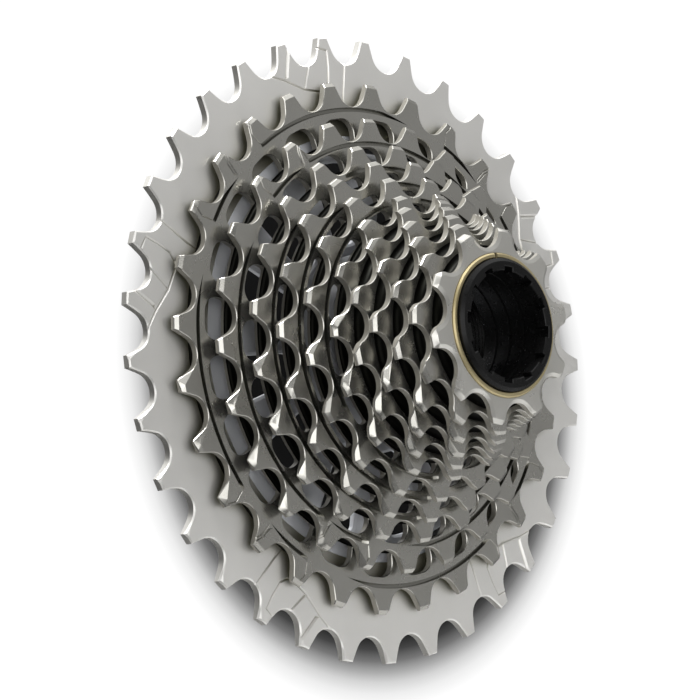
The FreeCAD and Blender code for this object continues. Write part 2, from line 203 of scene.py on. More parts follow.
def toothed(count):
    loop = []
    gap = tooth_gap(count)
    for index in range(count):
        angle = 2 * pi * (CLOCK[count] + index) / count
        loop += [turned_point(point, angle) for point in gap]
    return loop


def half_arc(radius, end):
    """The points of an arc from straight up, without its end."""
    return [at(radius, end * part / ARC_STEPS) for part in range(ARC_STEPS)]


def quarter(radius, angle, corner, first):
    """A quarter round about the point at a radius and an angle, from first degrees past that angle."""
    x, z = at(radius, angle)
    points = []
    for step in range(CORNER_STEPS + 1):
        aside, outward = at(corner, angle + radians(first + 90 * step / CORNER_STEPS))
        points.append((x + aside, z + outward))
    return points


def ring_window(inner, outer, middle, half, corner_out, corner_in):
    """A window between two arcs, with straight sides and round corners."""
    high, low = outer - corner_out, inner + corner_in
    high_angle, low_angle = half - asin(corner_out / high), half - asin(corner_in / low)
    right = half_arc(outer, high_angle) + quarter(high, high_angle, corner_out, 0)
    right += quarter(low, low_angle, corner_in, 90) + list(reversed(half_arc(inner, low_angle)))
    left = [(-x, z) for x, z in reversed(right[1:-1])]
    return [turned_point(point, middle) for point in right + left]


def notched(count, first, inner, outer, half, half_outer, arc_steps):
    """A round bore with notches out to the outer radius; the halves are of a notch's angle at each radius."""
    loop = []
    rest = 2 * pi / count - 2 * half
    for index in range(count):
        middle = first + 2 * pi * index / count
        loop += [at(inner, middle - half), at(outer, middle - half_outer), at(outer, middle),
                 at(outer, middle + half_outer), at(inner, middle + half)]
        loop += [at(inner, middle + half + rest * step / arc_steps) for step in range(1, arc_steps)]
    return loop


# Shells: closed meshes gathered into one piece.  A bevel is its width along the face and its depth behind it.
SMOOTH_ANGLE = radians(20)
FINE_BEVEL = (0.13, 0.13)
BACK_BEVEL = 0.15
THINNEST = 0.2
MERGE_DISTANCE = 1e-5


def add_object(name, data):
    item = bpy.data.objects.new(name, data)
    bpy.context.scene.collection.objects.link(item)
    return item


class Piece:
    """Vertices and faces of one visible piece, with the number of each face's material."""

    def __init__(self, name):
        self.name = name
        self.points = []
        self.faces = []
        self.paints = []

    def add(self, points, faces, paints):
        start = len(self.points)
        self.points += points
        self.faces += [tuple(start + index for index in face) for face in faces]
        self.paints += paints

    def finish(self, body, materials, slot, *nodes):
        mesh = bpy.data.meshes.new(self.name)
        mesh.from_pydata([Vector(point) * MM for point in self.points], [], self.faces)
        work = bmesh.new()
        work.from_mesh(mesh)
        bmesh.ops.recalc_face_normals(work, faces=work.faces)
        work.to_mesh(mesh)
        work.free()
        mesh.shade_smooth()
        mesh.set_sharp_from_angle(angle=SMOOTH_ANGLE)
        for material in materials:
            mesh.materials.append(material)
        mesh.polygons.foreach_set("material_index", self.paints)
        piece = add_object(self.name, mesh)
        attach(piece, body)
        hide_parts(*nodes)


def inside(points, loops):
    """Which points lie inside the outline and outside every hole."""
    odd = np.zeros(len(points), bool)
    x, z = points[:, 0], points[:, 1]
    for loop in loops:
        corners = np.array(loop)
        for (ax, az), (bx, bz) in zip(corners, np.roll(corners, -1, axis=0)):
            if az == bz:
                continue
            crosses = (az > z) != (bz > z)
            odd ^= crosses & (x < (bx - ax) * (z - az) / (bz - az) + ax)
    return odd


def edge_distance(points, loop):
    """How far each flat point lies from a loop."""
    start = np.array(loop)
    step = np.roll(start, -1, axis=0) - start
    length = np.maximum((step ** 2).sum(1), 1e-12)
    nearest = np.zeros(len(points))
    for index, point in enumerate(points):
        away = point - start
        part = np.clip((away * step).sum(1) / length, 0, 1)
        nearest[index] = np.sqrt(((away - step * part[:, None]) ** 2).sum(1)).min()
    return nearest


class Plan:
    """The flat lines that a plate's mesh follows, each with the depth of the bevel on it, where known."""

    def __init__(self):
        self.points = []
        self.edges = []
        self.drops = []

    def add(self, line, drop, closed):
        start = len(self.points)
        self.points.extend(line)
        self.drops.extend([drop] * len(line))
        self.edges.extend((start + index, start + index + 1) for index in range(len(line) - 1))
        if closed:
            self.edges.append((start + len(line) - 1, start))

    def divide(self, loops):
        """Points and triangles between the loops, and the bevel's known depth at each point, or None."""
        points = [Vector(point) for point in self.points]
        found, _, faces, origin, _, _ = delaunay_2d_cdt(points, self.edges, [], 0, MERGE_DISTANCE, True)
        flat = np.array([tuple(point) for point in found])
        corners = np.array([tuple(face) for face in faces])
        kept = corners[inside(flat[corners].mean(axis=1), loops)]
        used, triangles = np.unique(kept, return_inverse=True)
        known = []
        for source in used:
            drops = [self.drops[item] for item in origin[source] if self.drops[item] is not None]
            known.append(max(drops, default=None))
        return flat[used], triangles.reshape(kept.shape), known


def bevel_drop(flat, known, loops, bevels):
    """The depth of the bevels at each flat point: as known, or else by its distance from the edges."""
    unknown = np.array([value is None for value in known])
    drop = np.array([value or 0.0 for value in known])
    for loop, (width, depth) in zip(loops, bevels):
        share = 1 - edge_distance(flat[unknown], loop) / width
        drop[unknown] = np.maximum(drop[unknown], depth * np.clip(share, 0, 1))
    return drop


def rim_edges(triangles):
    """The edges that only one triangle has, in its direction."""
    rim = {}
    for a, b, c in triangles:
        for edge in ((a, b), (b, c), (c, a)):
            if edge[::-1] in rim:
                del rim[edge[::-1]]
            else:
                rim[edge] = True
    return list(rim)


def plate(piece, outline, holes, front, back, bevel=FINE_BEVEL, hole_bevel=None, back_bevel=BACK_BEVEL,
          features=(), side_paint=0):
    """A flat plate from y = front to y = back, with bevelled edges and features sunk in its front face."""
    loops = [wound(outline, True)] + [wound(hole, False) for hole in holes]
    bevels = [bevel] + [hole_bevel or bevel] * len(holes)
    plan = Plan()
    for loop, (width, depth) in zip(loops, bevels):
        plan.add(loop, depth, True)
        plan.add(inset(loop, width), 0.0, True)
    for feature in features:
        for line, closed in feature.lines():
            plan.add(line, None, closed)
    flat, triangles, known = plan.divide(loops)

    drop = bevel_drop(flat, known, loops, bevels)
    sunk = np.zeros(len(flat))
    for feature in features:
        sunk = np.maximum(sunk, feature.depth(flat))
    back_y = back - np.minimum(drop, back_bevel)
    front_y = np.minimum(front + drop + sunk, back_y - THINNEST)

    total = len(flat)
    shell = [(x, y, z) for heights in (front_y, back_y) for (x, z), y in zip(flat, heights)]
    skin = [tuple(face) for face in triangles] + [tuple(face[::-1] + total) for face in triangles]
    walls = [(b, a, a + total, b + total) for a, b in rim_edges(triangles)]
    piece.add(shell, skin + walls, [0] * len(skin) + [side_paint] * len(walls))


def turned(piece, profile, steps=160, start=0.0, sweep=2 * pi, paint=0):
    """A closed (radius, y) profile turned about the wheel axis, in full or in part."""
    full = sweep == 2 * pi
    rows = steps if full else steps + 1
    size = len(profile)
    points, faces = [], []
    for row in range(rows):
        angle = start + sweep * row / steps
        for radius, y in profile:
            x, z = at(radius, angle)
            points.append((x, y, z))
    for row in range(steps):
        here, there = row * size, (row + 1) % rows * size
        for index in range(size):
            after = (index + 1) % size
            faces.append((here + index, here + after, there + after, there + index))
    if not full:
        faces.append(tuple(range(size)))
        faces.append(tuple(reversed(range(steps * size, (steps + 1) * size))))
    piece.add(points, faces, [paint] * len(faces))


def fillet(radius, y, size):
    """A concave quarter round, from the wall at radius down to the face at y."""
    turns = [pi / 2 * step / FILLET_STEPS for step in range(FILLET_STEPS + 1)]
    return [(radius + size * (1 - cos(turn)), y - size * (1 - sin(turn))) for turn in turns]


# Features sunk into a front face: each gives the lines of its creases, and its depth at flat points.
GROOVE_WIDTH = 0.95
GROOVE_DEPTH = 1.0
GROOVE_FLOOR = 0.7
GROOVE_TAPER = radians(9)
GROOVE_SWING = -0.5
GROOVE_START = radians(1)
GROOVE_STEP = radians(1.5)
TIP_CREASE_STEPS = 240


class Groove:
    """A groove round part of a circle, square where it starts; its end tapers and swings inwards."""

    def __init__(self, radius, start, end):
        self.radius = radius
        self.start, self.end = radians(start), radians(end)
        self.taper = min(GROOVE_TAPER, (self.end - self.start) / 2)

    def size_at(self, angle):
        return min(max((self.end - angle) / self.taper, 0.0), 1.0)

    def middle_at(self, angle):
        return self.radius + GROOVE_SWING * (1 - self.size_at(angle))

    def lines(self):
        steps = max(4, ceil((self.end - self.start) / GROOVE_STEP))
        for share in (1.0, GROOVE_FLOOR, -GROOVE_FLOOR, -1.0):
            line = []
            for index in range(steps + 1):
                angle = self.start + (self.end - self.start) * index / steps
                half = GROOVE_WIDTH / 2 * self.size_at(angle)
                line.append(at(self.middle_at(angle) + share * half, angle))
            yield line, False

    def depth(self, flat):
        result = np.zeros(len(flat))
        for index, (x, z) in enumerate(flat):
            angle = atan2(x, z)
            while angle < self.start:
                angle += 2 * pi
            if angle > self.end:
                continue
            size = self.size_at(angle)
            half = max(GROOVE_WIDTH / 2 * size, 1e-6)
            away = abs(hypot(x, z) - self.middle_at(angle))
            fade = min(2 * size, (angle - self.start) / GROOVE_START, 1.0)
            wall = min(max((half - away) / ((1 - GROOVE_FLOOR) * half), 0.0), 1.0)
            result[index] = GROOVE_DEPTH * fade * wall
        return result


class TipBevel:
    """Tooth tips that slope back from the front face, outside a radius."""

    def __init__(self, radius, slope):
        self.radius, self.slope = radius, slope

    def lines(self):
        yield circle(self.radius, TIP_CREASE_STEPS), True

    def depth(self, flat):
        return self.slope * np.clip(np.hypot(flat[:, 0], flat[:, 1]) - self.radius, 0, None)


class FlankBevel:
    """The clockwise corner of the teeth in one sector, cut back from the front face.

    The shape places the crease: how far aside of the tooth's middle its low end lies, how far that end lies
    outside the root circle, and how far aside the high end lies, which is on the tip circle.
    """

    def __init__(self, count, shape, slope, sector):
        self.slope = slope
        self.creases = []
        low_aside, low_rise, high_aside = shape
        ends = ((low_aside, root_r(count) + low_rise), (high_aside, tip_r(count)))
        for index in range(count):
            middle = 2 * pi * (CLOCK[count] + index + 0.5) / count
            if sector[0] < degrees(middle) % 360 < sector[1]:
                self.creases.append([np.array(turned_point(end, middle)) for end in ends])

    def lines(self):
        for low, high in self.creases:
            yield [tuple(low), tuple(high)], False

    def depth(self, flat):
        result = np.zeros(len(flat))
        for low, high in self.creases:
            along = (high - low) / np.hypot(*(high - low))
            beyond = (flat - low) @ np.array((along[1], -along[0]))
            near = np.hypot(*(flat - high).T) < CHAIN_PITCH / 2
            result = np.where(near, np.maximum(result, self.slope * np.clip(beyond, 0, None)), result)
        return result


class Line:
    """A fine V-shaped line through corners given as (radius, degrees past the start)."""

    def __init__(self, corners, start, width, depth):
        self.width, self.deep = width, depth
        self.path = [at(radius, radians(start + angle)) for radius, angle in corners]

    def lines(self):
        path = [Vector(point) for point in self.path]
        sides = []
        for index in range(len(path)):
            before, after = path[max(index - 1, 0)], path[min(index + 1, len(path) - 1)]
            along = (after - before).normalized()
            sides.append(Vector((-along.y, along.x)) * self.width / 2)
        for share in (1.0, 0.0, -1.0):
            yield [tuple(point + share * side) for point, side in zip(path, sides)], False

    def depth(self, flat):
        nearest = np.full(len(flat), np.inf)
        for start, end in zip(self.path, self.path[1:]):
            step = np.subtract(end, start)
            part = np.clip((flat - start) @ step / (step @ step), 0, 1)
            nearest = np.minimum(nearest, np.hypot(*(flat - start - part[:, None] * step).T))
        return self.deep * np.clip(1 - nearest / (self.width / 2), 0, 1)


# The steel sprockets.
RISER_INSET = 0.35
RISER_WALL = 1.4
RISER_OVERLAP = 0.3
SPIGOT_INSET = 0.9
FOOT_FILLET = 0.68
SOLID_FOOT_FILLET = 1.3
FOOT_OVERLAP = 0.05
# The riser's material is near black: painted shade in the deep gaps between the plates.
RISER_SHADE_PAINT, EDGE_PAINT = 1, 2
BORE_STEPS = 120

WINDOW_INSET = 0.2
WINDOW_DROP = {28: 2.6, 24: 1.6, 21: 1.7, 19: 2.05, 17: 1.45}
WINDOW_CORNER = 3.2
WINDOW_FOOT_CORNER = 0.8
LEAST_SIDE = 0.1
RIB_WIDTH = 3.1

TIP_BEVEL_HEIGHT = 0.9
TIP_BEVEL_SLOPE = 0.7
SMALLEST_BEVEL = (0.8, 0.35)

# The cut-back corners of the teeth: their shapes, their slope, and the degrees clockwise from straight up
# between which each sprocket has them.
FLANK_OF_WINDOWED = (3.6, 0.6, -0.8)
FLANK_OF_SOLID = (3.4, 0.5, -1.3)
FLANK_SLOPE = 0.9
FLANK_SECTORS = {28: (236, 272), 24: (198, 272), 21: (198, 272), 19: (198, 272), 17: (198, 272),
                 15: (198, 282), 14: (198, 266), 13: (198, 256), 12: (198, 248)}

# How far inside the root circle the shift grooves run, and their arcs on each web, in degrees clockwise from
# straight up.
GROOVE_INSET = 0.65
GROOVES = {
    28: ((-143, -129), (-118, -66), (-53, -39), (-28, 24), (37, 51), (62, 114), (127, 141), (152, 204)),
    24: ((-158, -142), (-140, -53), (-38, -22), (-20, 67), (82, 98), (100, 187)),
    21: ((-176, -37), (-13, 66), (96, 172)),
    19: ((-176, -23), (-5, 70), (100, 172)),
    17: ((-173, -131), (-113, -8), (10, 80), (110, 172)),
}

# Fine lines on the teeth: their corners as (share of the tooth's height, degrees aside), and their width
# and depth.
LINED = (28, 24)
SHORT_GROOVE = 20
START_LINE = ((0.0, 0.0), (0.5, -0.7), (0.95, 0.4))
END_LINE = ((0.0, -0.6), (0.5, -0.2), (0.9, 0.9))
END_LINE_SPACING = 0.7
TOOTH_LINE_SIZE = (0.35, 0.2)


def bore_of(count):
    """The bore of a steel sprocket, round the bush or round the spigot of the next smaller sprocket."""
    if count in TEETH[-2:]:
        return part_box("tube_bush")[1][0] / MM
    return root_r(TEETH[TEETH.index(count) + 1]) - SPIGOT_INSET


def windows_of(count):
    """The windows of one web, one behind each tooth gap of the next smaller sprocket."""
    smaller = TEETH[TEETH.index(count) + 1]
    inner, outer = root_r(smaller) - WINDOW_INSET, root_r(count) - WINDOW_DROP[count]
    half = pi / smaller - asin(RIB_WIDTH / (inner + outer))
    corner = min(WINDOW_CORNER, outer - inner - WINDOW_FOOT_CORNER - LEAST_SIDE)
    turns = [2 * pi * (CLOCK[smaller] + index) / smaller for index in range(smaller)]
    return [ring_window(inner, outer, turn, half, corner, WINDOW_FOOT_CORNER) for turn in turns]


def tooth_line(count, corners, start):
    """A fine line on a tooth, from near the root circle towards the tip."""
    root, tip = root_r(count), tip_r(count)
    path = [(root + (tip - root) * share, aside) for share, aside in corners]
    return Line(path, start, *TOOTH_LINE_SIZE)


def groove_lines(count):
    """The lines on the teeth where the grooves start, and double ones where the short grooves end."""
    lines = []
    for start, end in GROOVES[count]:
        lines.append(tooth_line(count, START_LINE, start))
        if end - start < SHORT_GROOVE:
            lines.append(tooth_line(count, END_LINE, end))
            lines.append(tooth_line(count, END_LINE, end + END_LINE_SPACING))
    return lines


def features_of(count):
    """What is sunk in the front face of a steel sprocket."""
    features = [TipBevel(tip_r(count) - TIP_BEVEL_HEIGHT, TIP_BEVEL_SLOPE)]
    if count in FLANK_SECTORS:
        shape = FLANK_OF_WINDOWED if count in WINDOWED else FLANK_OF_SOLID
        features.append(FlankBevel(count, shape, FLANK_SLOPE, FLANK_SECTORS[count]))
    if count in WINDOWED:
        features += [Groove(root_r(count) - GROOVE_INSET, start, end) for start, end in GROOVES[count]]
    if count in LINED:
        features += groove_lines(count)
    return features


def riser_profile(count):
    """The riser behind a steel sprocket's plate, and the spigot that sits in the next larger sprocket."""
    larger = TEETH[TEETH.index(count) - 1]
    top, seat = front_of(count) + PLATE - RISER_OVERLAP, front_of(larger)
    outer = root_r(count) - RISER_INSET
    inner = outer - RISER_WALL
    if larger == LARGEST:
        return [(outer, top), (outer, seat), (inner, seat), (inner, top)]
    foot = FOOT_FILLET if larger in WINDOWED else SOLID_FOOT_FILLET
    sunk = seat + FOOT_OVERLAP
    profile = [(outer, top)] + fillet(outer, seat, foot) + [(outer + foot, sunk)]
    if count == SMALLEST:
        return profile + [(bore_of(count), sunk), (bore_of(count), top)]
    spigot, end = root_r(count) - SPIGOT_INSET, seat + PLATE
    return profile + [(spigot, sunk), (spigot, end), (inner, end), (inner, top)]


def steel_sprocket(count, materials):
    """A toothed plate with its riser and spigot; its materials are for faces, riser and cut edges, the
    riser's near black and the cut edges' darker, as painted shade.
    """
    piece = Piece("sprocket_%d" % count)
    front = front_of(count)
    holes = [circle(bore_of(count), BORE_STEPS)]
    if count in WINDOWED:
        holes += windows_of(count)
    bevel = SMALLEST_BEVEL if count == SMALLEST else FINE_BEVEL
    plate(piece, toothed(count), holes, front, front + PLATE, bevel=bevel, hole_bevel=FINE_BEVEL,
          features=features_of(count), side_paint=EDGE_PAINT)
    turned(piece, riser_profile(count), paint=RISER_SHADE_PAINT)
    piece.finish("cassette", materials, "cluster_steel", node_of(count))


# The largest sprocket, and the carrier whose rim it laps.
RING_FRONT, RING_BACK = span_y("sprocket_33t")
RING = RING_BACK - RING_FRONT
RING_BEVEL = (0.3, 0.3)
RING_EDGE_PAINT = 1
RING_STEPS = 180
LAP_INNER = 46.6
LAP_OUTER = 50.6
LAP_DEPTH = 1.0
BAND_OVERLAP, RIM_OVERLAP = 0.2, 0.3
RIM_FLANK = (2.6, 2.4, 0.2)
RIM_SLOPE = 0.6
RIM_SECTOR = (180, 275)

# Where the shift zones of the largest sprocket start, and their lines as (radius, degrees from there).
ZONES = (-148, -71, -6, 71, 146.5)
ZONE_STEP = ((67.0, -1.5), (61.2, -4.0))
ZONE_STEP_SIZE = (1.0, 0.45)
ZONE_LINES = (
    ((63.2, -9.0), (60.8, -5.0), (57.6, 0.0), (56.4, 5.5)),
    ((64.0, 3.5), (58.0, 0.3)),
    ((66.2, 6.0), (65.5, 8.4), (62.0, 8.2), (58.6, 7.6), (57.0, 6.2)),
    ((63.5, 13.0), (55.0, 11.5)),
)
ZONE_LINE_SIZE = (0.6, 0.3)

ARMS = 12
CUT_INNER, CUT_OUTER = 23.0, 41.0
CUT_TURN, CUT_HALF = -3.0, 7.5
CUT_CORNER = 2.0
CARRIER_BEVEL = (0.1, 0.1)
CUT_BEVEL = (0.6, 0.45)
CARRIER_BACK_BEVEL = 0.4
HUB_HOLE, HUB_OUTER = 19.0, 20.6
HUB_LENGTH = 12.0
HUB_BEVEL = (0.4, 0.4)
HUB_BACK_BEVEL = 0.3
SPLINES = 9
SPLINE_INNER, SPLINE_OUTER = 17.3, 18.3
SPLINE_HALF_WIDTH = 1.0
SPLINE_NARROWING = 0.94
SPLINE_ARC_STEPS = 10


def large_sprocket(materials):
    """The toothed ring and the thin inner band that laps the carrier; materials are for face and edges, the
    edges' a darker copy as painted shade.
    """
    piece = Piece("sprocket_33")
    features = [Line(ZONE_STEP, start, *ZONE_STEP_SIZE) for start in ZONES]
    features += [Line(line, start, *ZONE_LINE_SIZE) for start in ZONES for line in ZONE_LINES]
    features.append(FlankBevel(LARGEST, RIM_FLANK, RIM_SLOPE, RIM_SECTOR))
    plate(piece, toothed(LARGEST), [circle(LAP_OUTER, RING_STEPS)], RING_FRONT, RING_BACK, bevel=RING_BEVEL,
          features=features, side_paint=RING_EDGE_PAINT)
    outer, deep = LAP_OUTER + BAND_OVERLAP, RING_FRONT + LAP_DEPTH
    band = [(outer, RING_FRONT), (outer, deep), (LAP_INNER, deep), (LAP_INNER, RING_FRONT)]
    turned(piece, band, RING_STEPS)
    piece.finish("cassette", materials, "ring_alloy", "sprocket_33t")


def carrier(material):
    """The spider: a disc with cuts between its arms, the thin rim behind the largest sprocket, and a hub."""
    piece = Piece("carrier_spider")
    cuts = []
    for index in range(ARMS):
        turn = radians(CUT_TURN + 360 * index / ARMS)
        cuts.append(ring_window(CUT_INNER, CUT_OUTER, turn, radians(CUT_HALF), CUT_CORNER, CUT_CORNER))
    plate(piece, circle(LAP_INNER, RING_STEPS), [circle(HUB_HOLE)] + cuts, -RING, 0.0, bevel=CARRIER_BEVEL,
          hole_bevel=CUT_BEVEL, back_bevel=CARRIER_BACK_BEVEL)
    inner = LAP_INNER - RIM_OVERLAP
    turned(piece, [(inner, -LAP_DEPTH), (LAP_OUTER, -LAP_DEPTH), (LAP_OUTER, 0.0), (inner, 0.0)], RING_STEPS)
    half = asin(SPLINE_HALF_WIDTH / SPLINE_INNER)
    bore = notched(SPLINES, 0.0, SPLINE_INNER, SPLINE_OUTER, half, half * SPLINE_NARROWING,
                   SPLINE_ARC_STEPS)
    plate(piece, circle(HUB_OUTER, BORE_STEPS), [bore], -HUB_LENGTH, 0.0, bevel=HUB_BEVEL,
          back_bevel=HUB_BACK_BEVEL)
    piece.finish("cassette", (material,), "carrier_alloy", "carrier")


# The lock tube, its bush, and the pins.
HEAD_RADIUS = 14.02
HEAD_DEPTH = 2.5
HEAD_BEVEL = (0.72, 0.6)
HEAD_BORE_BEVEL = (0.15, 0.15)
TOOL_NOTCHES = 12
TOOL_TURN = 14
TOOL_INNER, TOOL_OUTER = 11.4, 12.3
TOOL_HALF_WIDTH = 1.175
TOOL_ARC_STEPS = 6
TUBE_STEPS = 144
TUBE_OUTER = 13.55
TUBE_BORE = 12.1
TUBE_END = -13.0
TUBE_CHAMFER = 0.2
TUBE_OVERLAP = 0.05
THREAD_START, THREAD_END = -13.4, -25.2
THREAD_TURNS = 12
THREAD_PITCH = 1.0
THREAD_ROOT, THREAD_CREST = 12.6, 13.0
BORE_GROOVES = (-29.0, -33.0, -37.0)
BORE_GROOVE_RADIUS = 12.35
BORE_GROOVE_HALF, BORE_GROOVE_FLOOR = 0.3, 0.2

BUSH_OUTER = 15.2
BUSH_LIP = 14.1
BUSH_BORE = 13.62
BUSH_LIP_DEPTH = 1.1
BUSH_SLIT = 0.8
BUSH_TURN = radians(4)
BUSH_STEPS = 140

PINS = 12
PIN_CIRCLE = (LAP_INNER + LAP_OUTER) / 2
PIN_TURN = 2 * pi * (CLOCK[24] + 0.5) / 24
PIN_STEPS = 20
PIN_BEVEL = 0.15
PIN_DIMPLE = 0.12
PIN_DIMPLE_SHARE = 0.4


def tube_profile(front):
    """The tube behind its head: to its end and back up its bore, with its threads and grooves."""
    head_back = front + HEAD_DEPTH - TUBE_OVERLAP
    profile = [(TUBE_BORE, head_back), (TUBE_OUTER, head_back), (TUBE_OUTER, TUBE_END - TUBE_CHAMFER),
               (TUBE_OUTER - TUBE_CHAMFER, TUBE_END), (THREAD_ROOT + TUBE_CHAMFER, TUBE_END)]
    for index in range(THREAD_TURNS):
        y = THREAD_START - THREAD_PITCH * index
        profile += [(THREAD_ROOT, y), (THREAD_CREST, y - THREAD_PITCH / 2)]
    profile += [(THREAD_ROOT, THREAD_END), (TUBE_BORE, THREAD_END - TUBE_CHAMFER)]
    for y in BORE_GROOVES:
        profile += [(TUBE_BORE, y + BORE_GROOVE_HALF), (BORE_GROOVE_RADIUS, y + BORE_GROOVE_FLOOR),
                    (BORE_GROOVE_RADIUS, y - BORE_GROOVE_FLOOR), (TUBE_BORE, y - BORE_GROOVE_HALF)]
    return profile


def lock_tube(material):
    piece = Piece("lock_tube_body")
    front = span_y("lock_tube")[0]
    half, half_outer = asin(TOOL_HALF_WIDTH / TOOL_INNER), asin(TOOL_HALF_WIDTH / TOOL_OUTER)
    bore = notched(TOOL_NOTCHES, radians(TOOL_TURN), TOOL_INNER, TOOL_OUTER, half, half_outer,
                   TOOL_ARC_STEPS)
    plate(piece, circle(HEAD_RADIUS, TUBE_STEPS), [bore], front, front + HEAD_DEPTH, bevel=HEAD_BEVEL,
          hole_bevel=HEAD_BORE_BEVEL, back_bevel=0.0)
    turned(piece, tube_profile(front), TUBE_STEPS)
    piece.finish("lock_tube", (material,), "tube_black", "lock_tube")


def brass_bush(material):
    """A slit ring with a lip over the tube's head."""
    piece = Piece("bush_ring")
    front, back = span_y("tube_bush")
    profile = [(BUSH_LIP, front + 0.25), (BUSH_LIP + 0.2, front), (BUSH_OUTER - 0.3, front),
               (BUSH_OUTER, front + 0.3), (BUSH_OUTER, back), (BUSH_BORE, back),
               (BUSH_BORE, front + BUSH_LIP_DEPTH), (BUSH_LIP, front + BUSH_LIP_DEPTH)]
    slit = BUSH_SLIT / BUSH_OUTER
    turned(piece, profile, BUSH_STEPS, BUSH_TURN + slit / 2, 2 * pi - slit)
    piece.finish("cassette", (material,), "bush_brass", "tube_bush")


def pins(name, node, material, slot, radius, first):
    """A ring of pins with bevelled ends and a dimple in the back one."""
    piece = Piece(name)
    front, back = span_y(node)
    profile = [(0.0, front), (radius - PIN_BEVEL, front), (radius, front + PIN_BEVEL),
               (radius, back - PIN_BEVEL), (radius - PIN_BEVEL, back),
               (radius * PIN_DIMPLE_SHARE, back), (0.0, back - PIN_DIMPLE)]
    faces = []
    for row in range(len(profile) - 1):
        here, there = row * PIN_STEPS, (row + 1) * PIN_STEPS
        for step in range(PIN_STEPS):
            after = (step + 1) % PIN_STEPS
            faces.append((here + step, here + after, there + after, there + step))
    for index in range(PINS):
        x, z = at(PIN_CIRCLE, first + 2 * pi * index / PINS)
        points = [(x + dx, y, z + dz) for ring_r, y in profile for dx, dz in circle(ring_r, PIN_STEPS)]
        piece.add(points, faces, [0] * len(faces))
    piece.finish("cassette", (material,), slot, node)


# Materials.
WHITE = (1.0, 1.0, 1.0)
PATCH_SCALE = 60
GLOSS_SCALE = 180
FINE_SCALE = 900
GRAIN_SCALE = 2500
GRAIN_HEIGHT = 0.0002
NOISE_DETAIL = 4.0
NOISE_RANGE = (0.3, 0.7)


def shader(name, color, metallic, roughness):
    material = bpy.data.materials.new(name)
    material.use_nodes = True
    tree = material.node_tree
    principled = tree.nodes["Principled BSDF"]
    principled.inputs["Base Color"].default_value = (*color, 1)
    principled.inputs["Metallic"].default_value = metallic
    principled.inputs["Roughness"].default_value = roughness
    return material, tree, principled


def add_noise(tree, scale):
    place = tree.nodes.new("ShaderNodeTexCoord")
    noise = tree.nodes.new("ShaderNodeTexNoise")
    noise.inputs["Scale"].default_value = scale
    noise.inputs["Detail"].default_value = NOISE_DETAIL
    tree.links.new(place.outputs["Object"], noise.inputs["Vector"])
    return noise.outputs["Fac"]


def ramp(tree, source, low, high, positions=NOISE_RANGE):
    node = tree.nodes.new("ShaderNodeValToRGB")
    for element, position, color in zip(node.color_ramp.elements, positions, (low, high)):
        element.position = position
        element.color = (*color, 1)
    tree.links.new(source, node.inputs["Fac"])
    return node.outputs["Color"]


def map_range(tree, source, reach, low, high):
    node = tree.nodes.new("ShaderNodeMapRange")
    node.inputs["From Min"].default_value, node.inputs["From Max"].default_value = reach
    node.inputs["To Min"].default_value, node.inputs["To Max"].default_value = low, high
    tree.links.new(source, node.inputs["Value"])
    return node


def vary_gloss(tree, principled, scale, roughness):
    spread = map_range(tree, add_noise(tree, scale), NOISE_RANGE, *roughness)
    tree.links.new(spread.outputs["Result"], principled.inputs["Roughness"])


def painted_recess_shade(tree, color, reach, deepest, positions=(0.15, 0.7)):
    """The colour with painted shade: darkened by ambient occlusion in recesses as far as reach, down to the
    deepest share of it.
    """
    shelter = tree.nodes.new("ShaderNodeAmbientOcclusion")
    shelter.samples = 16
    shelter.inputs["Distance"].default_value = reach * MM
    shade = ramp(tree, shelter.outputs["AO"], deepest, WHITE, positions)
    mix = tree.nodes.new("ShaderNodeMix")
    mix.data_type, mix.blend_type = "RGBA", "MULTIPLY"
    mix.inputs["Factor"].default_value = 1.0
    tree.links.new(color, mix.inputs["A"])
    tree.links.new(shade, mix.inputs["B"])
    return mix.outputs["Result"]


def metal(name, dark, light, roughness, metallic=1.0, bump=0.04, recess_shade=None):
    """Metal with patches between two colours, an uneven gloss and a fine grain, and painted shade in its
    recesses where asked.
    """
    material, tree, principled = shader(name, light, metallic, roughness[0])
    color = ramp(tree, add_noise(tree, PATCH_SCALE), dark, light)
    if recess_shade:
        color = painted_recess_shade(tree, color, *recess_shade)
    tree.links.new(color, principled.inputs["Base Color"])
    vary_gloss(tree, principled, GLOSS_SCALE, roughness)
    relief = tree.nodes.new("ShaderNodeBump")
    relief.inputs["Strength"].default_value = bump
    relief.inputs["Distance"].default_value = GRAIN_HEIGHT
    tree.links.new(add_noise(tree, GRAIN_SCALE), relief.inputs["Height"])
    tree.links.new(relief.outputs["Normal"], principled.inputs["Normal"])
    return material


def coated(name, level, roughness, specular=0.5):
    """A dark, even material with an uneven gloss."""
    material, tree, principled = shader(name, (level, level, level), 0.0, sum(roughness) / 2)
    principled.inputs["Specular IOR Level"].default_value = specular
    vary_gloss(tree, principled, FINE_SCALE, roughness)
    return material


# The steel's darkening in its recesses is painted shade.
steel = metal("satin_steel", (0.50, 0.49, 0.45), (0.56, 0.55, 0.51), (0.22, 0.3), metallic=0.97,
              recess_shade=(3.0, (0.26, 0.26, 0.23)))
# A lighter copy of the steel for the smallest sprocket: painted light.
lit_steel = metal("lit_steel", (0.58, 0.57, 0.53), (0.64, 0.63, 0.59), (0.26, 0.34), metallic=0.85)
# A darker, rougher, less metallic copy of the steel for the cut edges; its darker colour is painted shade,
# its rougher finish is its own.
shaded_edge_steel = metal("shaded_edge_steel", (0.20, 0.19, 0.165), (0.25, 0.24, 0.21), (0.3, 0.4), metallic=0.45)
# Near-black steel for the risers and spigots: painted shade.
riser_painted_shade = metal("riser_painted_shade", (0.004, 0.004, 0.003), (0.008, 0.008, 0.007), (0.4, 0.5))
spring_steel = metal("spring_steel", (0.20, 0.20, 0.20), (0.28, 0.28, 0.29), (0.25, 0.4))
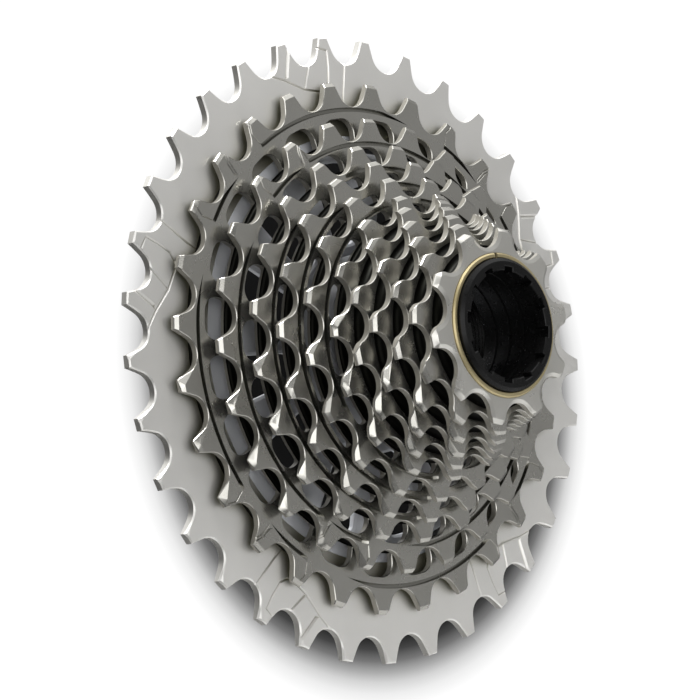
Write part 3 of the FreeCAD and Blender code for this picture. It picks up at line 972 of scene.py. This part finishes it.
# The alloy's olive darkening in its recesses is painted shade and a painted reflection of the steel sprockets
# in front of it.
alloy = metal("blasted_alloy", (0.75, 0.74, 0.71), (0.80, 0.79, 0.76), (0.36, 0.44), metallic=0.75, bump=0.08,
              recess_shade=(7.0, (0.30, 0.29, 0.22), (0.3, 0.72)))
# A darker copy of the blasted alloy for the ring's cut edges: painted shade.
shaded_edge_alloy = metal("shaded_edge_alloy", (0.50, 0.49, 0.46), (0.56, 0.55, 0.52), (0.36, 0.44), metallic=0.75)
cool_alloy = metal("cool_alloy", (0.42, 0.43, 0.45), (0.48, 0.49, 0.51), (0.4, 0.5), metallic=0.1)
brass = metal("brass", (0.44, 0.37, 0.20), (0.54, 0.46, 0.27), (0.3, 0.4), metallic=0.8)
black = coated("black_anodised", 0.004, (0.24, 0.36), specular=0.2)
rubber = coated("rubber", 0.015, (0.5, 0.7))

large_sprocket((alloy, shaded_edge_alloy))
for teeth in TEETH[1:]:
    # The smallest sprocket takes the lighter copy of the steel, as painted light.
    face_steel = lit_steel if teeth == SMALLEST else steel
    steel_sprocket(teeth, (face_steel, riser_painted_shade, shaded_edge_steel))
carrier(cool_alloy)
lock_tube(black)
brass_bush(brass)
pins("pin_set", "cluster_pins", steel, "pin_steel", 0.8, PIN_TURN)
pins("rivet_set", "carrier_rivets", alloy, "rivet_alloy", 1.0, PIN_TURN - pi / PINS)
for node, material in (("thrust_washer", spring_steel), ("retaining_ring", spring_steel), ("o_ring", rubber)):
    mesh = frame["nodes"][node].data
    mesh.materials.clear()
    mesh.materials.append(material)


# Stage, light and camera.
CAMERA_AZIMUTH = radians(-44.883)
CAMERA_ROLL = radians(-9.645)
CAMERA_DISTANCE = 701.24
CAMERA_SHIFT = (-3.469, -0.318)
CAMERA_TARGET = Vector((0, -1.3, 0))
LENS = 165.857143
SENSOR = 36.0

# The room: its own level, and its soft boxes, each with its direction, the cosines between which it fades in,
# and its brightness.
ROOM_LEVEL = 0.1
BOXES = (
    ((-0.69, -0.71, 0.1), (0.86, 0.96), 1.25),
    ((0.1, 0.2, 0.95), (0.5, 0.9), 1.5),
    ((0.8, -0.6, 0.1), (0.4, 1.0), 0.22),
    ((0.3, -0.45, -0.84), (0.68, 0.92), 0.7),
)
SEEN_WHITE = 1.1

# The card paints a shadow round the part and the dark seen through its windows, by glowing at each level.
# The card behind the part: its centre, the radii of its rings as they appear at the wheel axis, their levels,
# and how many times farther from the camera than the axis it stands.
SHADOW_CARD_CENTRE = Vector((0.5, 0.0, -6.5))
SHADOW_CARD_RADII = (10, 56, 59, 61.5, 64, 66, 68.5, 71.5, 76, 92)
SHADOW_CARD_LEVELS = (0.004, 0.01, 0.06, 0.18, 0.42, 0.66, 0.86, 1.0, 1.1, 1.1)
SHADOW_CARD_STEPS = 96
SHADOW_CARD_REACH = 2.4

FLOOR_RADIUS = 100.0
FLOOR_STEPS = 128
FLOOR_DROP = 22.0
FLOOR_GLOW = 0.3


def camera():
    """The camera looks level, from the left of the small end, and leans to its left."""
    backward = Vector((sin(CAMERA_AZIMUTH), -cos(CAMERA_AZIMUTH), 0))
    level = Vector((cos(CAMERA_AZIMUTH), sin(CAMERA_AZIMUTH), 0))
    upward = Vector((0, 0, 1))
    right = level * cos(CAMERA_ROLL) + upward * sin(CAMERA_ROLL)
    up = upward * cos(CAMERA_ROLL) - level * sin(CAMERA_ROLL)
    data = bpy.data.cameras.new("camera")
    data.sensor_width = SENSOR
    data.lens = LENS
    data.clip_start = 0.01
    place = CAMERA_TARGET + right * CAMERA_SHIFT[0] + up * CAMERA_SHIFT[1] + backward * CAMERA_DISTANCE
    eye = add_object("camera", data)
    eye.matrix_world = Matrix.Translation(place * MM) @ Matrix((right, up, backward)).transposed().to_4x4()
    bpy.context.scene.camera = eye


def floor():
    """A round white table top, below the cassette."""
    height = cad_box[0][2] / MM - FLOOR_DROP
    points = [Vector((x, z, height)) * MM for x, z in circle(FLOOR_RADIUS, FLOOR_STEPS)]
    mesh = bpy.data.meshes.new("floor")
    mesh.from_pydata(points, [], [tuple(reversed(range(FLOOR_STEPS)))])
    material, _, principled = shader("floor_white", (0.92, 0.92, 0.92), 0.0, 0.8)
    principled.inputs["Emission Color"].default_value = (*WHITE, 1)
    principled.inputs["Emission Strength"].default_value = FLOOR_GLOW
    mesh.materials.append(material)
    piece = add_object("floor", mesh)
    piece.visible_glossy = False


def soft_box(tree, place, direction, reach, brightness):
    """The level of one soft box, by the cosine between its direction and the one looked in."""
    toward = tree.nodes.new("ShaderNodeVectorMath")
    toward.operation = "DOT_PRODUCT"
    toward.inputs[1].default_value = Vector(direction).normalized()
    tree.links.new(place.outputs["Generated"], toward.inputs[0])
    level = map_range(tree, toward.outputs["Value"], reach, 0.0, brightness)
    level.interpolation_type = "SMOOTHSTEP"
    return level.outputs["Result"]


def world():
    """A dim room with soft boxes, which the camera shows as plain white."""
    sky = bpy.data.worlds.new("studio")
    bpy.context.scene.world = sky
    sky.use_nodes = True
    tree = sky.node_tree
    seen = tree.nodes["Background"]
    seen.inputs["Strength"].default_value = SEEN_WHITE
    room = tree.nodes.new("ShaderNodeBackground")
    seen.inputs["Color"].default_value = room.inputs["Color"].default_value = (*WHITE, 1)
    place = tree.nodes.new("ShaderNodeTexCoord")
    total = None
    for box in BOXES:
        join = tree.nodes.new("ShaderNodeMath")
        join.inputs[0].default_value = ROOM_LEVEL
        if total:
            tree.links.new(total, join.inputs[0])
        tree.links.new(soft_box(tree, place, *box), join.inputs[1])
        total = join.outputs["Value"]
    tree.links.new(total, room.inputs["Strength"])
    path = tree.nodes.new("ShaderNodeLightPath")
    mix = tree.nodes.new("ShaderNodeMixShader")
    tree.links.new(path.outputs["Is Camera Ray"], mix.inputs["Fac"])
    tree.links.new(room.outputs["Background"], mix.inputs[1])
    tree.links.new(seen.outputs["Background"], mix.inputs[2])
    tree.links.new(mix.outputs["Shader"], tree.nodes["World Output"].inputs["Surface"])


def painted_shadow_card_mesh():
    """Rings round the card's centre, thrown from the camera onto the card, with a level of painted shade at
    each point.
    """
    eye = bpy.context.scene.camera.matrix_world.translation
    steps = SHADOW_CARD_STEPS
    flat = [(0.0, 0.0)] + [point for radius in SHADOW_CARD_RADII for point in circle(radius, steps)]
    rims = [(Vector((x, 0.0, z)) + SHADOW_CARD_CENTRE) * MM for x, z in flat]
    faces = [(0, 1 + index, 1 + (index + 1) % steps) for index in range(steps)]
    for row in range(len(SHADOW_CARD_RADII) - 1):
        low, high = 1 + row * steps, 1 + (row + 1) * steps
        for index in range(steps):
            after = (index + 1) % steps
            faces.append((low + index, high + index, high + after, low + after))
    mesh = bpy.data.meshes.new("painted_shadow_card")
    mesh.from_pydata([eye + (rim - eye) * SHADOW_CARD_REACH for rim in rims], [], faces)
    shade = mesh.color_attributes.new("shade", "FLOAT_COLOR", "POINT")
    levels = [SHADOW_CARD_LEVELS[0]] + [level for level in SHADOW_CARD_LEVELS for _ in range(steps)]
    for item, level in zip(shade.data, levels):
        item.color = (level, level, level, 1)
    return mesh


def shadow_card_glow():
    """A material that glows with the card's levels, painting its shadow and its dark."""
    material = bpy.data.materials.new("painted_shadow_card")
    material.use_nodes = True
    tree = material.node_tree
    tree.nodes.remove(tree.nodes["Principled BSDF"])
    glow = tree.nodes.new("ShaderNodeEmission")
    source = tree.nodes.new("ShaderNodeVertexColor")
    source.layer_name = "shade"
    tree.links.new(source.outputs["Color"], glow.inputs["Color"])
    tree.links.new(glow.outputs["Emission"], tree.nodes["Material Output"].inputs["Surface"])
    return material


def painted_shadow_card():
    """A card far behind the wheel axis, glowing with painted shade: dark where the windows look through, a
    soft painted shadow at the rim, and white again past it.
    """
    mesh = painted_shadow_card_mesh()
    mesh.materials.append(shadow_card_glow())
    piece = add_object("painted_shadow_card", mesh)
    piece.visible_glossy = False
    piece.visible_diffuse = False


def aim(lamp, direction):
    lamp.rotation_euler = direction.to_track_quat("-Z", "Y").to_euler()


def sun(name, toward, angle, strength):
    light = bpy.data.lights.new(name, "SUN")
    light.energy = strength
    light.angle = radians(angle)
    aim(add_object(name, light), -Vector(toward))


def area_light(name, place, target, size, watts):
    """A square light with no highlight of its own; its places and size are in millimetres."""
    light = bpy.data.lights.new(name, "AREA")
    light.shape = "SQUARE"
    light.size = size * MM
    light.energy = watts
    lamp = add_object(name, light)
    lamp.location = Vector(place) * MM
    aim(lamp, Vector(target) - Vector(place))
    lamp.visible_glossy = False


bpy.context.scene.view_settings.view_transform = "Standard"
camera()
floor()
world()
painted_shadow_card()
sun("top", (-0.12, 0.05, 1.0), 30, 6.0)
sun("front", (-0.5, -0.85, 0.2), 40, 0.38)
area_light("high_rim", (-20, -80, 130), (0, 0, 50), 60, 0.14)
area_light("low_rim", (10, -105, -65), (0, 0, -50), 50, 0.05)
